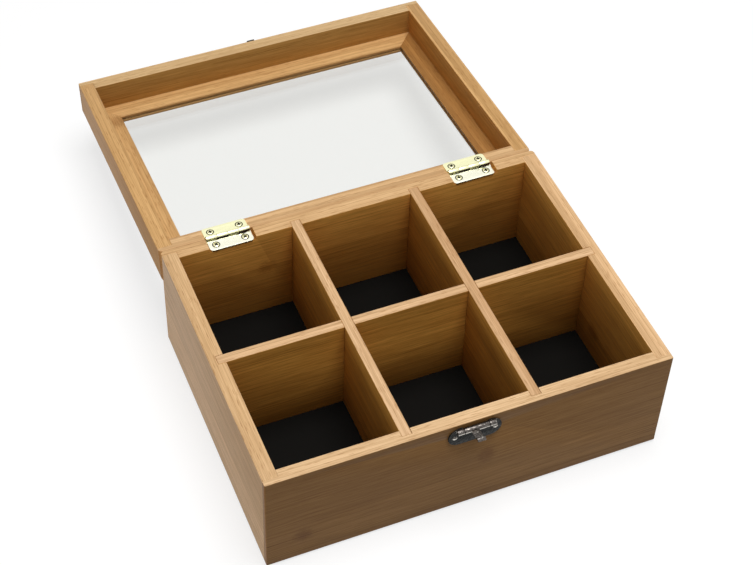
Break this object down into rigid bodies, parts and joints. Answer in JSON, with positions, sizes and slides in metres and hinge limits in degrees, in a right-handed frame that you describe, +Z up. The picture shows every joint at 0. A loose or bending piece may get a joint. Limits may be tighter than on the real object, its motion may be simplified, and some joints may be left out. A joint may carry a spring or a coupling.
{
  "type": "tea bag organizer box",
  "caption": "Shallow wooden tea bag box with crossing dividers, a back-hinged lid with a clear window in a mitred frame, and a small swing latch at the front",
  "frame": {"origin": "on the underside of the front wall, at the middle of its length and of its thickness", "axes": "+Z up from the underside, +Y from the front wall towards the hinges and the open lid, +X to the right seen from the front"},
  "size_m": [0.217, 0.3341, 0.0686],
  "materials": {
    "box_wood": "bamboo strip, clear satin lacquer",
    "divider_wood": "bamboo strip, clear satin lacquer",
    "floor_board": "black-faced thin board, satin",
    "clear_pane": "clear, polished",
    "hinge_brass": "brass plated, bright",
    "hinge_screws": "brass plated, bright, cross recess",
    "latch_metal": "dark antiqued gunmetal plating, semi-gloss"
  },
  "bodies": {
    "base": {"front_wall": "box_wood", "back_wall": "box_wood", "left_wall": "box_wood", "right_wall": "box_wood", "floor_panel": "floor_board", "long_divider": "divider_wood", "left_cross_divider": "divider_wood", "right_cross_divider": "divider_wood", "latch_plate": "latch_metal", "latch_plate_nails": "latch_metal", "latch_pin": "latch_metal", "left_hinge_base_leaf": "hinge_brass", "left_hinge_base_screws": "hinge_screws", "left_hinge_pin": "hinge_brass", "right_hinge_base_leaf": "hinge_brass", "right_hinge_base_screws": "hinge_screws", "right_hinge_pin": "hinge_brass"},
    "lid": {"lid_front_rail": "box_wood", "lid_back_rail": "box_wood", "lid_left_rail": "box_wood", "lid_right_rail": "box_wood", "window_frame_front": "box_wood", "window_frame_back": "box_wood", "window_frame_left": "box_wood", "window_frame_right": "box_wood", "window_pane": "clear_pane", "catch_plate": "latch_metal", "catch_plate_nails": "latch_metal", "left_hinge_lid_leaf": "hinge_brass", "left_hinge_lid_screws": "hinge_screws", "right_hinge_lid_leaf": "hinge_brass", "right_hinge_lid_screws": "hinge_screws"},
    "latch_lever": {"latch_lever": "latch_metal"}
  },
  "joints": [
    {"name": "lid_hinge", "type": "hinge", "parent": "base", "child": "lid", "pos_m": [0, 0.15735, 0.0673], "axis": [1, 0, 0], "range_deg": [0, 184.95]},
    {"name": "latch_swing", "type": "hinge", "parent": "base", "child": "latch_lever", "pos_m": [0, -0.0055, 0.0649], "axis": [-1, 0, 0], "range_deg": [-60, 80]}
  ]
}
